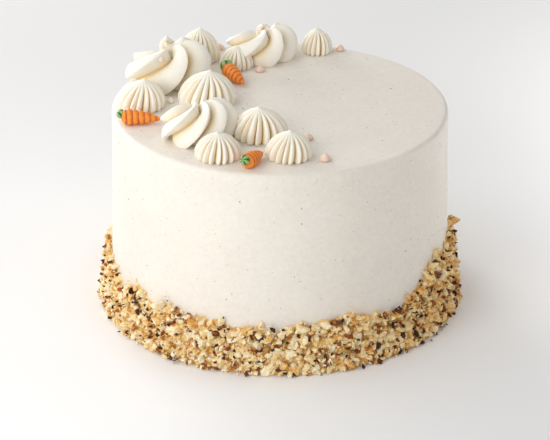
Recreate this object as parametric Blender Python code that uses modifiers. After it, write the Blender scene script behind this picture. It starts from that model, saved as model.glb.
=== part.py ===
"""Iced round carrot cake: a tall cylinder of frosting with a chopped-nut collar at
its foot and a crescent of piped kisses, piped swirls, small sugar carrots and
sugar drops along one side of its top.

Metres, +Z up. The cake stands on the plane Z = 0 with its axis on the origin.
"""

import math

import bmesh
import bpy
from mathutils import Matrix, Vector, noise

COLLECTION = "carrot_cake"

# The iced cake.
CAKE_HEIGHT = 0.1245
TOP_RADIUS = 0.1015
FOOT_FLARE = 0.0035
FLARE_POWER = 1.2
EDGE_RADIUS = 0.0025
EDGE_STEPS = 3
SIDE_STEPS = 3
CAKE_SEGMENTS = 72

# Clearance left between two pieces that touch, and how near a piece stands to be cut round.
GAP = 0.0003
CLOSE = 0.0020
TOP_PLANE = CAKE_HEIGHT + GAP

# The collar of chopped nuts pressed on to the foot of the cake.
COLLAR_SEGMENTS = 108
COLLAR_FOOT = 0.0095
COLLAR_LIP = 0.0034
COLLAR_RISE = 0.0315
COLLAR_ROUGHNESS = 0.0011
COLLAR_RAGGED = 0.0042
COLLAR_ROWS = 4
# Where the chopped nuts climb: bearing from the front in degrees, half width, rise.
COLLAR_CLIMBS = (
    (-90.0, 18.0, 0.0055),
    (-66.0, 7.0, -0.0050),
    (-53.0, 6.0, 0.0035),
    (-14.0, 4.0, -0.0035),
    (-2.0, 5.0, -0.0030),
    (20.0, 12.0, 0.0020),
    (40.0, 7.0, -0.0035),
    (60.0, 8.0, 0.0130),
    (75.0, 10.0, 0.0130),
    (92.0, 11.0, 0.0160),
    (140.0, 16.0, 0.0080),
    (-150.0, 14.0, 0.0060),
)

# Piped kisses: name, x, y, radius, height, ribs, first rib in degrees, lean x, lean y.
KISSES = (
    ("kiss_1", -0.0838, -0.0021, 0.0148, 0.0178, 18, 5.0, 0.0020, 0.0000),
    ("kiss_2", -0.0510, 0.0735, 0.0133, 0.0215, 18, 12.0, 0.0003, 0.0000),
    ("kiss_3", -0.0442, 0.0046, 0.0176, 0.0210, 18, 0.0, 0.0015, 0.0000),
    ("kiss_4", -0.0272, 0.0610, 0.0108, 0.0142, 16, 8.0, 0.0000, 0.0000),
    ("kiss_5", 0.0235, 0.0862, 0.0098, 0.0165, 16, 3.0, 0.0000, 0.0000),
    ("kiss_6", -0.0356, -0.0750, 0.0136, 0.0158, 18, 10.0, 0.0000, 0.0000),
    ("kiss_7", -0.0114, -0.0459, 0.0164, 0.0188, 18, 4.0, -0.0008, 0.0000),
    ("kiss_8", 0.0052, -0.0745, 0.0139, 0.0164, 18, 15.0, 0.0010, 0.0000),
)
KISS_GROOVE = 0.13
KISS_TWIST = 10.0
# Outline of a kiss from its foot to its tip: share of the radius, share of the height.
KISS_OUTLINE = (
    (0.92, 0.00),
    (1.00, 0.17),
    (0.92, 0.42),
    (0.70, 0.66),
    (0.36, 0.84),
    (0.09, 0.95),
)

# Piped swirls: name, x, y, path radius, height, rope radius, flare of the path at its
# start, lobes, how many times faster they turn than the path, lobe phase in degrees.
SWIRLS = (
    ("swirl_1", -0.0675, 0.0400, 0.0118, 0.0292, 0.0156, 0.62, 3, 1.9, 70.0),
    ("swirl_2", -0.0097, 0.0795, 0.0092, 0.0218, 0.0128, 0.90, 3, 2.2, 60.0),
    ("swirl_3", -0.0470, -0.0430, 0.0100, 0.0188, 0.0143, 0.45, 4, 2.2, 60.0),
)
SWIRL_FIRST = 185.0
SWIRL_TURNS = 1.15
SWIRL_GROOVE = 0.55
# Share of a lobe that its steep side takes, and how its two sides curve.
SWIRL_CREST = 0.22
SWIRL_STEEP = 0.9
SWIRL_BROAD = 1.7
SWIRL_SECTION = 40
SWIRL_RINGS = 90
SWIRL_VOXEL = 0.0009
SWIRL_TRIANGLES = 640

# Sugar carrots: name, x and y of the middle, heading in degrees, pitch, length, radius, leaf.
CARROTS = (
    ("carrot_1", -0.0821, -0.0290, -1.0, 0.0, 0.0245, 0.0050, 0.0030),
    ("carrot_2", -0.0276, 0.0353, -60.0, -2.0, 0.0225, 0.0051, 0.0042),
    ("carrot_3", -0.0146, -0.0850, 60.0, 0.0, 0.0200, 0.0049, 0.0034),
)
CARROT_RIDGES = 6
CARROT_RIDGE_DEPTH = 0.18
CARROT_SIDES = 8
LEAF_LENGTH = 1.45
LEAF_LOBES = 5
LEAF_TILT = 24.0

# Sugar drops: name, x, y, lift above the icing, radius, height.
DROPS = (
    ("drop_1", 0.0261, -0.0800, 0.0000, 0.0034, 0.0046),
    ("drop_2", 0.0164, -0.0506, 0.0000, 0.0030, 0.0040),
    ("drop_3", -0.0125, 0.0530, 0.0000, 0.0030, 0.0038),
    ("drop_4", 0.0382, 0.0883, 0.0000, 0.0030, 0.0040),
    ("drop_5", -0.0385, 0.0900, 0.0000, 0.0030, 0.0040),
    ("drop_6", -0.0660, 0.0040, 0.0000, 0.0021, 0.0034),
    ("drop_7", -0.0076, 0.0785, 0.0160, 0.0027, 0.0043),
    ("drop_8", -0.0719, 0.0200, 0.0202, 0.0018, 0.0032),
)


def clear_scene():
    for obj in list(bpy.data.objects):
        bpy.data.objects.remove(obj, do_unlink=True)


def make_collection(name):
    collection = bpy.data.collections.new(name)
    bpy.context.scene.collection.children.link(collection)
    return collection


def make_material(name, colour, roughness):
    material = bpy.data.materials.new(name)
    material.use_nodes = True
    shader = material.node_tree.nodes["Principled BSDF"]
    shader.inputs["Base Color"].default_value = (*colour, 1.0)
    shader.inputs["Roughness"].default_value = roughness
    shader.inputs["Metallic"].default_value = 0.0
    return material


def add_object(bm, name, material, collection, sharp_angle):
    """Close a mesh up into an object whose faces turn outward."""
    bmesh.ops.remove_doubles(bm, verts=bm.verts[:], dist=1e-6)
    bmesh.ops.triangulate(bm, faces=bm.faces[:])
    bmesh.ops.recalc_face_normals(bm, faces=bm.faces[:])
    mesh = bpy.data.meshes.new(name)
    bm.to_mesh(mesh)
    bm.free()
    mesh.shade_smooth()
    mesh.set_sharp_from_angle(angle=math.radians(sharp_angle))
    mesh.materials.append(material)
    obj = bpy.data.objects.new(name, mesh)
    collection.objects.link(obj)
    return obj


def smoothstep(low, high, value):
    share = min(1.0, max(0.0, (value - low) / (high - low)))
    return share * share * (3.0 - 2.0 * share)


def skin_rings(bm, rings, closed=False):
    """Extrude a ring of points through every later ring; the rings have one length."""
    made = bmesh.ops.create_circle(bm, segments=len(rings[0]), radius=1.0)["verts"]
    ring = made
    first = made
    for vertex, point in zip(ring, rings[0]):
        vertex.co = point
    for points in rings[1:]:
        edges = ring_edges(bm, ring)
        grown = bmesh.ops.extrude_edge_only(bm, edges=edges)["geom"]
        fresh = {v for v in grown if isinstance(v, bmesh.types.BMVert)}
        follow = []
        for vertex in ring:
            above = [e.other_vert(vertex) for e in vertex.link_edges]
            follow.append([v for v in above if v in fresh][0])
        ring = follow
        for vertex, point in zip(ring, points):
            vertex.co = point
    if closed:
        bmesh.ops.bridge_loops(bm, edges=ring_edges(bm, ring) + ring_edges(bm, first))
    return first, ring


def ring_edges(bm, ring):
    pairs = zip(ring, ring[1:] + ring[:1])
    return [bm.edges.get(pair) for pair in pairs]


def cap_ring(bm, ring, tip=None):
    """Close a ring with one flat face, or draw it in to a point."""
    if tip is None:
        bmesh.ops.contextual_create(bm, geom=ring_edges(bm, ring))
        return
    made = bmesh.ops.extrude_edge_only(bm, edges=ring_edges(bm, ring))["geom"]
    fresh = [v for v in made if isinstance(v, bmesh.types.BMVert)]
    bmesh.ops.pointmerge(bm, verts=fresh, merge_co=tip)


def cake_radius(z):
    """Radius of the iced side at height z: the foot spreads a little."""
    return TOP_RADIUS + FOOT_FLARE * (1.0 - z / CAKE_HEIGHT) ** FLARE_POWER


def make_cake(collection, material):
    profile = [Vector((0.0, 0.0, CAKE_HEIGHT))]
    for step in range(EDGE_STEPS + 1):
        angle = math.radians(90.0 * step / EDGE_STEPS)
        x = TOP_RADIUS - EDGE_RADIUS + EDGE_RADIUS * math.sin(angle)
        z = CAKE_HEIGHT - EDGE_RADIUS + EDGE_RADIUS * math.cos(angle)
        profile.append(Vector((x, 0.0, z)))
    side_top = CAKE_HEIGHT - EDGE_RADIUS
    for step in range(1, SIDE_STEPS + 1):
        z = side_top * (1.0 - step / SIDE_STEPS)
        profile.append(Vector((cake_radius(z), 0.0, z)))
    profile.append(Vector((0.0, 0.0, 0.0)))
    mesh = bpy.data.meshes.new("cake_body")
    mesh.from_pydata(profile, [(i, i + 1) for i in range(len(profile) - 1)], [])
    obj = bpy.data.objects.new("cake_body", mesh)
    collection.objects.link(obj)
    turn = obj.modifiers.new("turn", "SCREW")
    turn.axis = "Z"
    turn.angle = math.tau
    turn.steps = CAKE_SEGMENTS
    turn.render_steps = CAKE_SEGMENTS
    turn.use_merge_vertices = True
    turn.merge_threshold = 0.0001
    turn.use_smooth_shade = True
    mesh.materials.append(material)
    return obj


def collar_height(bearing):
    """Height of the ragged upper edge of the nuts, bearing in degrees from the front."""
    height = COLLAR_RISE
    for middle, half_width, rise in COLLAR_CLIMBS:
        away = (bearing - middle + 180.0) % 360.0 - 180.0
        height += rise * math.exp(-((away / half_width) ** 2))
    angle = math.radians(bearing)
    ragged = noise.noise(Vector((18.0 * math.cos(angle), 18.0 * math.sin(angle), 0.7)))
    return height + COLLAR_RAGGED * ragged


def make_collar(collection, material):
    rings = [[] for _ in range(COLLAR_ROWS + 3)]
    for step in range(COLLAR_SEGMENTS):
        bearing = 360.0 * step / COLLAR_SEGMENTS
        angle = math.radians(bearing - 90.0)
        along = Vector((math.cos(angle), math.sin(angle), 0.0))
        height = collar_height(bearing)
        stations = []
        for row in range(COLLAR_ROWS + 1):
            share = row / COLLAR_ROWS
            z = height * share
            thick = COLLAR_FOOT + (COLLAR_LIP - COLLAR_FOOT) * share**0.8
            rough = noise.noise(Vector((along.x * 26.0, along.y * 26.0, z * 260.0)))
            radius = cake_radius(z) + thick + COLLAR_ROUGHNESS * rough
            stations.append((radius, z))
        inner_top = height - 0.0006
        stations.append((cake_radius(inner_top) + GAP, inner_top))
        stations.append((cake_radius(0.0) + GAP, 0.0))
        for ring, (radius, z) in zip(rings, stations):
            ring.append(along * radius + Vector((0.0, 0.0, z)))
    bm = bmesh.new()
    skin_rings(bm, rings, closed=True)
    return add_object(bm, "nut_collar", material, collection, 40.0)


def lobed(phase, lobes, groove):
    """Radius share of a star opening: round lobes between sharp creases."""
    return 1.0 - groove * (1.0 - abs(math.cos(0.5 * lobes * phase)) ** 0.75)


def bladed(phase, lobes, groove):
    """Radius share of a rope's lobes: a steep side up to a crest, then a broad back."""
    place = (phase * lobes / math.tau) % 1.0
    if place < SWIRL_CREST:
        return 1.0 - groove * (1.0 - place / SWIRL_CREST) ** SWIRL_STEEP
    return 1.0 - groove * ((place - SWIRL_CREST) / (1.0 - SWIRL_CREST)) ** SWIRL_BROAD


def make_kiss(spec, collection, material):
    name, x, y, radius, height, ribs, first, lean_x, lean_y = spec
    base = Vector((x, y, TOP_PLANE))
    rings = []
    for row, (across, up) in enumerate(KISS_OUTLINE):
        lean = Vector((lean_x, lean_y, 0.0)) * up**2
        ring = []
        for step in range(2 * ribs):
            phase = math.pi * step / ribs
            share = lobed(phase, ribs, KISS_GROOVE * min(1.0, 1.2 * across + 0.2))
            angle = phase + math.radians(first + KISS_TWIST * up)
            reach = radius * across * share
            spot = Vector((reach * math.cos(angle), reach * math.sin(angle), height * up))
            ring.append(base + lean + spot)
        rings.append(ring)
    bm = bmesh.new()
    foot, crown = skin_rings(bm, rings)
    cap_ring(bm, foot)
    tip = base + Vector((lean_x, lean_y, height))
    cap_ring(bm, crown, tip)
    return add_object(bm, name, material, collection, 35.0)


def swirl_path(spec, share):
    """Middle of the rope, its radius and its bearing at a share of its length."""
    _, x, y, path, height, rope, flare, _, _, _ = spec
    bearing = math.radians(SWIRL_FIRST + 360.0 * SWIRL_TURNS * share)
    reach = path * (1.0 - 0.8 * smoothstep(0.25, 0.92, share))
    reach += path * flare * (1.0 - smoothstep(0.0, 0.30, share))
    girth = rope * (0.60 + 0.40 * smoothstep(0.0, 0.10, share))
    girth *= 1.0 - 0.90 * smoothstep(0.38, 0.97, share)
    rise = 0.78 * smoothstep(0.20, 0.86, share) + 0.22 * max(0.0, 2.0 * share - 1.0) ** 2
    z = 0.60 * rope + (height - 0.60 * (girth + rope)) * rise
    spot = Vector((x + reach * math.cos(bearing), y + reach * math.sin(bearing), TOP_PLANE + z))
    return spot, girth, bearing


def swirl_rings(spec):
    lobes, twist, first_phase = spec[7:]
    rings = []
    for step in range(SWIRL_RINGS + 1):
        share = step / SWIRL_RINGS
        spot, girth, bearing = swirl_path(spec, share)
        after = swirl_path(spec, min(1.0, share + 0.004))[0]
        before = swirl_path(spec, max(0.0, share - 0.004))[0]
        ahead = (after - before).normalized()
        outward = Vector((math.cos(bearing), math.sin(bearing), 0.0))
        side = (outward - ahead * outward.dot(ahead)).normalized()
        over = side.cross(ahead)
        if over.z < 0.0:
            over = -over
        groove = SWIRL_GROOVE * (1.0 - 0.30 * smoothstep(0.80, 1.0, share))
        ring = []
        for corner in range(SWIRL_SECTION):
            phase = math.tau * corner / SWIRL_SECTION
            lobe_phase = phase - twist * bearing + math.radians(first_phase)
            reach = girth * bladed(lobe_phase, lobes, groove)
            ring.append(spot + side * (reach * math.cos(phase)) + over * (reach * math.sin(phase)))
        rings.append(ring)
    return rings


def mesh_through(obj, name):
    """The mesh that an object's modifiers make."""
    bpy.context.view_layer.update()
    graph = bpy.context.evaluated_depsgraph_get()
    mesh = bpy.data.meshes.new_from_object(obj.evaluated_get(graph))
    mesh.name = name
    return mesh


def make_swirl(spec, neighbours, collection, material):
    """A rope of icing laid in a rising spiral, cut back where a neighbour stands."""
    name, x, y, path = spec[:4]
    bm = bmesh.new()
    start, end = skin_rings(bm, swirl_rings(spec))
    cap_ring(bm, start)
    cap_ring(bm, end)
    bmesh.ops.recalc_face_normals(bm, faces=bm.faces[:])
    heart = Matrix.Translation((x, y, TOP_PLANE)) @ Matrix.Diagonal((1.0, 1.0, 0.8, 1.0))
    bmesh.ops.create_uvsphere(bm, u_segments=24, v_segments=12, radius=path, matrix=heart)
    mesh = bpy.data.meshes.new(name)
    bm.to_mesh(mesh)
    bm.free()
    obj = bpy.data.objects.new(name, mesh)
    collection.objects.link(obj)
    fuse = obj.modifiers.new("fuse", "REMESH")
    fuse.mode = "VOXEL"
    fuse.voxel_size = SWIRL_VOXEL
    soften = obj.modifiers.new("soften", "SMOOTH")
    soften.factor = 0.5
    soften.iterations = 2
    fused = mesh_through(obj, name)
    obj.modifiers.clear()
    obj.data = fused
    fused.calc_loop_triangles()
    thin = obj.modifiers.new("thin", "DECIMATE")
    thin.ratio = SWIRL_TRIANGLES / len(fused.loop_triangles)
    thin.use_collapse_triangulate = True
    obj.data = mesh_through(obj, name)
    obj.modifiers.clear()
    cut_away(obj, neighbours)
    obj.data.materials.clear()
    obj.data.materials.append(material)
    obj.data.shade_smooth()
    obj.data.set_sharp_from_angle(angle=math.radians(50.0))
    return obj


def cut_away(obj, cutters):
    for cutter in cutters:
        cut = obj.modifiers.new("cut", "BOOLEAN")
        cut.operation = "DIFFERENCE"
        cut.solver = "EXACT"
        cut.object = cutter
    name = obj.data.name
    obj.data = mesh_through(obj, name)
    obj.modifiers.clear()


def make_spacer(obj, centre, radius, collection):
    """A copy of a piece, larger by the clearance, that cuts its neighbours."""
    bm = bmesh.new()
    bm.from_mesh(obj.data)
    grow = (radius + 1.6 * GAP) / radius
    about = Matrix.Translation(centre)
    swell = about @ Matrix.Scale(grow, 4) @ about.inverted()
    bmesh.ops.transform(bm, matrix=swell, verts=bm.verts[:])
    mesh = bpy.data.meshes.new(obj.name + "_spacer")
    bm.to_mesh(mesh)
    bm.free()
    return add_cutter(mesh, collection)


def add_cutter(mesh, collection):
    cutter = bpy.data.objects.new(mesh.name, mesh)
    cutter.hide_render = True
    cutter.display_type = "WIRE"
    collection.objects.link(cutter)
    return cutter


def make_floor_cutter(collection):
    """The block under the top plane, which trims the swirls flat."""
    bm = bmesh.new()
    depth = 0.04
    place = Matrix.Translation((0.0, 0.0, TOP_PLANE - 0.5 * depth))
    size = Matrix.Diagonal((0.3, 0.3, depth, 1.0))
    bmesh.ops.create_cube(bm, size=1.0, matrix=place @ size)
    mesh = bpy.data.meshes.new("top_plane_cutter")
    bm.to_mesh(mesh)
    bm.free()
    return add_cutter(mesh, collection)


def carrot_radius(share):
    """Radius share along a carrot from its blunt end to its point."""
    body = (1.0 - share**2.2) ** 0.8
    crown = smoothstep(-0.16, 0.17, share)
    ridge = 1.0 - CARROT_RIDGE_DEPTH * (0.5 + 0.5 * math.cos(math.tau * CARROT_RIDGES * share))
    return body * crown * ridge


def carrot_frame(spec):
    """Middle of the carrot, the way it points, and its sideways and upward axes."""
    _, x, y, heading, pitch, _, radius, _ = spec
    turn = Matrix.Rotation(math.radians(heading), 3, "Z")
    tilt = Matrix.Rotation(math.radians(-pitch), 3, "Y")
    axes = turn @ tilt
    middle = Vector((x, y, TOP_PLANE + radius * 0.93))
    return middle, axes @ Vector((1, 0, 0)), axes @ Vector((0, 1, 0)), axes @ Vector((0, 0, 1))


def round_ring(spot, side, over, girths):
    """A ring about a point, flattened where it would sink into the icing."""
    ring = []
    for corner, girth in enumerate(girths):
        angle = math.tau * corner / len(girths)
        point = spot + side * (girth * math.cos(angle)) + over * (girth * math.sin(angle))
        point.z = max(point.z, TOP_PLANE)
        ring.append(point)
    return ring


def make_carrot(spec, cutter, collection, material):
    name, _, _, _, _, length, radius, _ = spec
    middle, ahead, side, over = carrot_frame(spec)
    rings = []
    for step in range(2 * CARROT_RIDGES):
        share = step / (2 * CARROT_RIDGES)
        girth = radius * carrot_radius(share)
        spot = middle + ahead * (length * (share - 0.5)) - over * (0.30 * radius * share**2)
        rings.append(round_ring(spot, side, over, [girth] * CARROT_SIDES))
    bm = bmesh.new()
    blunt, slim = skin_rings(bm, rings)
    cap_ring(bm, blunt)
    cap_ring(bm, slim, middle + ahead * (0.5 * length) - over * (0.30 * radius))
    carrot = add_object(bm, name, material, collection, 60.0)
    cut_away(carrot, [cutter])
    return carrot


def make_leaf(spec, collection, material):
    """The tuft of green icing set on the crown of a carrot."""
    name, _, _, _, _, length, radius, leaf = spec
    middle, ahead, side, over = carrot_frame(spec)
    tilt = math.radians(LEAF_TILT)
    grow = over * math.sin(tilt) - ahead * math.cos(tilt)
    across = side.cross(grow)
    root = middle - ahead * (0.42 * length) + over * (0.12 * radius)
    rings = []
    for share, along in ((0.60, 0.00), (1.00, 0.35), (0.92, 0.62), (0.50, 0.90)):
        girths = []
        for corner in range(2 * LEAF_LOBES):
            phase = math.pi * corner / LEAF_LOBES
            girths.append(leaf * share * lobed(phase, LEAF_LOBES, 0.42))
        spot = root + grow * (LEAF_LENGTH * leaf * along)
        rings.append(round_ring(spot, side, across, girths))
    bm = bmesh.new()
    near, far = skin_rings(bm, rings)
    cap_ring(bm, near)
    cap_ring(bm, far, root + grow * (LEAF_LENGTH * leaf))
    tuft = add_object(bm, name + "_leaf", material, collection, 50.0)
    return tuft, root + grow * (0.5 * LEAF_LENGTH * leaf)


def make_drop(spec, collection, material):
    name, x, y, lift, radius, height = spec
    base = Vector((x, y, TOP_PLANE + lift))
    rings = []
    for across, up in ((0.80, 0.0), (1.0, 0.28), (0.72, 0.66), (0.28, 0.90)):
        ring = []
        for step in range(8):
            angle = math.tau * step / 8
            reach = radius * across
            ring.append(base + Vector((reach * math.cos(angle), reach * math.sin(angle), height * up)))
        rings.append(ring)
    bm = bmesh.new()
    foot, crown = skin_rings(bm, rings)
    cap_ring(bm, foot)
    cap_ring(bm, crown, base + Vector((0.0, 0.0, height)))
    return add_object(bm, name, material, collection, 60.0)


def main():
    clear_scene()
    cake = make_collection(COLLECTION)
    cutters = make_collection("cutters")
    frosting = make_material("cream_frosting", (0.86, 0.82, 0.76), 0.55)
    piping = make_material("piped_icing", (0.88, 0.83, 0.74), 0.50)
    nuts = make_material("chopped_nuts", (0.62, 0.43, 0.24), 0.65)
    orange = make_material("carrot_sugar", (0.85, 0.22, 0.03), 0.45)
    green = make_material("leaf_sugar", (0.05, 0.27, 0.08), 0.45)
    peach = make_material("peach_sugar", (0.83, 0.50, 0.38), 0.50)

    make_cake(cake, frosting)
    make_collar(cake, nuts)
    spacers = {}
    for spec in KISSES:
        kiss = make_kiss(spec, cake, piping)
        centre = Vector((spec[1], spec[2], TOP_PLANE))
        spacers[spec] = make_spacer(kiss, centre, spec[3], cutters)
    under = make_floor_cutter(cutters)
    for spec in DROPS:
        drop = make_drop(spec, cake, peach)
        if spec[3] > 0.0:
            centre = Vector((spec[1], spec[2], TOP_PLANE + spec[3] + 0.5 * spec[5]))
            spacers[spec] = make_spacer(drop, centre, 0.7 * spec[4], cutters)
    for spec in SWIRLS:
        reach = spec[3] * (1.0 + spec[8]) + spec[5] + CLOSE
        near = [under]
        for other, spacer in spacers.items():
            apart = math.hypot(other[1] - spec[1], other[2] - spec[2])
            if apart < reach + max(other[3:6]):
                near.append(spacer)
        make_swirl(spec, near, cake, piping)
    for spec in CARROTS:
        tuft, centre = make_leaf(spec, cake, green)
        spacer = make_spacer(tuft, centre, 0.55 * spec[7], cutters)
        make_carrot(spec, spacer, cake, orange)


if __name__ == "__main__":
    main()
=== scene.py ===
"""Carrot cake with its icing, piping, sugar carrots and band of chopped walnuts.

Metres, +Z up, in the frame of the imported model: the cake stands on Z = 0 with its
axis on the origin, and the front is -Y.
"""

from __future__ import annotations

import logging
import math
from collections.abc import Callable, Sequence
from dataclasses import dataclass, field
from enum import Enum

import bmesh
import bpy
import numpy as np
from mathutils import Matrix, Vector, noise
from mathutils.kdtree import KDTree


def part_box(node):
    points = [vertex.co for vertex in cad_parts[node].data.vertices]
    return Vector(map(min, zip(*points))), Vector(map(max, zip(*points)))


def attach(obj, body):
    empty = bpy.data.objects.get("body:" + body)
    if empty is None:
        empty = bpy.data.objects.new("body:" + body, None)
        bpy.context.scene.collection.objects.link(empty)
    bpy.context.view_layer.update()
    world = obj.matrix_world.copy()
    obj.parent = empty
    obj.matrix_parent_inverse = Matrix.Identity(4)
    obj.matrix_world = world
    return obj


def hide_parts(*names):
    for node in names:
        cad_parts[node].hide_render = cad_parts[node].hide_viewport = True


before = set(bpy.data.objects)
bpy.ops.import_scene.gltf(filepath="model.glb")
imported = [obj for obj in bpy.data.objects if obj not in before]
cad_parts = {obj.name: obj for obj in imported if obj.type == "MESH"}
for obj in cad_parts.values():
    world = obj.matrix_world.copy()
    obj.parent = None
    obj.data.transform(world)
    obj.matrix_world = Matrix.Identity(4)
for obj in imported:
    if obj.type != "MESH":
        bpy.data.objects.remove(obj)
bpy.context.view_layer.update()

LOG = logging.getLogger("carrot_cake")
MM = 0.001

Place = Callable[[float, float], tuple[Vector, float]]


# ---------------------------------------------------------------- materials


def linear(code: str) -> tuple[float, float, float, float]:
    """Turns an sRGB hex colour into linear light.

    Args:
        code: The colour as "#RRGGBB".

    Returns:
        Red, green, blue and an alpha of one.
    """
    shares = [int(code[at : at + 2], 16) / 255.0 for at in (1, 3, 5)]
    light = [c / 12.92 if c <= 0.04045 else ((c + 0.055) / 1.055) ** 2.4 for c in shares]
    return (light[0], light[1], light[2], 1.0)


def add_node(
    tree: bpy.types.NodeTree,
    kind: str,
    settings: dict[str, object] | None = None,
    inputs: dict[str | int, object] | None = None,
) -> bpy.types.Node:
    """Adds a node with its settings, and sets or links its inputs.

    Args:
        tree: The tree that takes the node.
        kind: The node's type, without its ShaderNode prefix.
        settings: Values for the node's own properties.
        inputs: Values or output sockets, by input name or number.

    Returns:
        The new node.
    """
    node = tree.nodes.new("ShaderNode" + kind)
    for name, value in (settings or {}).items():
        setattr(node, name, value)
    for name, value in (inputs or {}).items():
        if isinstance(value, bpy.types.NodeSocket):
            tree.links.new(value, node.inputs[name])
        else:
            node.inputs[name].default_value = value
    return node


def add_ramp(
    tree: bpy.types.NodeTree, source: bpy.types.NodeSocket, stops: Sequence[tuple[float, str]]
) -> bpy.types.NodeSocket:
    """Maps a value to colours.

    Args:
        tree: The tree that takes the node.
        source: The value from 0 to 1.
        stops: Each place and its sRGB hex colour.

    Returns:
        The colour socket.
    """
    ramp = add_node(tree, "ValToRGB", inputs={"Fac": source})
    marks = ramp.color_ramp.elements
    while len(marks) < len(stops):
        marks.new(0.5)
    for mark, (place, code) in zip(marks, stops):
        mark.position = place
        mark.color = linear(code)
    return ramp.outputs["Color"]


class Finish:
    """A finish whose material is made once and shared by its pieces."""

    name: str = "finish"

    def __init__(self) -> None:
        """Starts with no material."""
        self.made: bpy.types.Material | None = None

    def material(self) -> bpy.types.Material:
        """The material, made the first time that it is asked for."""
        if self.made is None:
            self.made = bpy.data.materials.new(self.name)
            self.made.use_nodes = True
            tree = self.made.node_tree
            shader = tree.nodes["Principled BSDF"]
            self.dress(tree, shader)
        return self.made

    def dress(self, tree: bpy.types.NodeTree, shader: bpy.types.Node) -> None:
        """Sets the shader and its patterns.

        Args:
            tree: The material's nodes.
            shader: Its Principled BSDF.
        """
        raise NotImplementedError

    @staticmethod
    def soften(shader: bpy.types.Node, weight: float, scale: float, reach: Sequence[float]) -> None:
        """Lets light spread under the surface.

        Args:
            shader: The Principled BSDF.
            weight: Share of the light that goes in.
            scale: How far it travels, in metres.
            reach: The same for red, green and blue, as shares.
        """
        shader.inputs["Subsurface Weight"].default_value = weight
        shader.inputs["Subsurface Scale"].default_value = scale
        shader.inputs["Subsurface Radius"].default_value = tuple(reach)


class SpreadIcing(Finish):
    """Cream cheese icing smoothed with a palette knife: a soft satin off-white with
    faint drag marks, low waves and a slight mottle."""

    name = "cream_cheese_icing_spread"

    def dress(self, tree: bpy.types.NodeTree, shader: bpy.types.Node) -> None:
        """Cream with a faint cloudy mottle, and shallow drag marks along the side."""
        spot = add_node(tree, "TexCoord").outputs["Object"]
        # Clouds about 30 mm across.
        cloud = add_node(
            tree, "TexNoise", inputs={"Vector": spot, "Scale": 33.0, "Detail": 3.0, "Roughness": 0.55}
        )
        colour = add_ramp(
            tree, cloud.outputs["Fac"], ((0.30, "#F2EADF"), (0.55, "#F4EDE2"), (0.80, "#F6F0E6"))
        )
        # Sugar not quite blended in, 2.5 mm across.
        mealy = add_node(tree, "TexNoise", inputs={"Vector": spot, "Scale": 400.0, "Detail": 2.0})
        tone = add_node(
            tree,
            "MapRange",
            inputs={"Value": mealy.outputs["Fac"], "From Min": 0.3, "From Max": 0.7,
                    "To Min": 0.965, "To Max": 1.02},
        )
        tinted = add_node(
            tree, "HueSaturation", inputs={"Color": colour, "Value": tone.outputs["Result"]}
        )
        tree.links.new(tinted.outputs["Color"], shader.inputs["Base Color"])
        # Drag marks lie along the knife's way: 12 mm long and 1.5 mm apart.
        drag = add_node(tree, "Mapping", inputs={"Vector": spot, "Scale": (80.0, 80.0, 420.0)})
        marks = add_node(
            tree,
            "TexNoise",
            inputs={"Vector": drag.outputs["Vector"], "Scale": 1.0, "Detail": 4.0, "Roughness": 0.5},
        )
        # The grain of the sugar and cheese, 0.7 mm.
        grain = add_node(
            tree, "TexNoise", inputs={"Vector": spot, "Scale": 1400.0, "Detail": 2.0}
        )
        first = add_node(
            tree,
            "Bump",
            inputs={"Strength": 0.25, "Distance": 0.10 * MM, "Height": marks.outputs["Fac"]},
        )
        second = add_node(
            tree,
            "Bump",
            inputs={
                "Strength": 0.20,
                "Distance": 0.05 * MM,
                "Height": grain.outputs["Fac"],
                "Normal": first.outputs["Normal"],
            },
        )
        tree.links.new(second.outputs["Normal"], shader.inputs["Normal"])
        rough = add_node(
            tree, "MapRange", inputs={"Value": marks.outputs["Fac"], "To Min": 0.46, "To Max": 0.62}
        )
        tree.links.new(rough.outputs["Result"], shader.inputs["Roughness"])
        shader.inputs["IOR"].default_value = 1.45
        self.soften(shader, 0.25, 3.0 * MM, (1.0, 0.80, 0.60))


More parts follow.
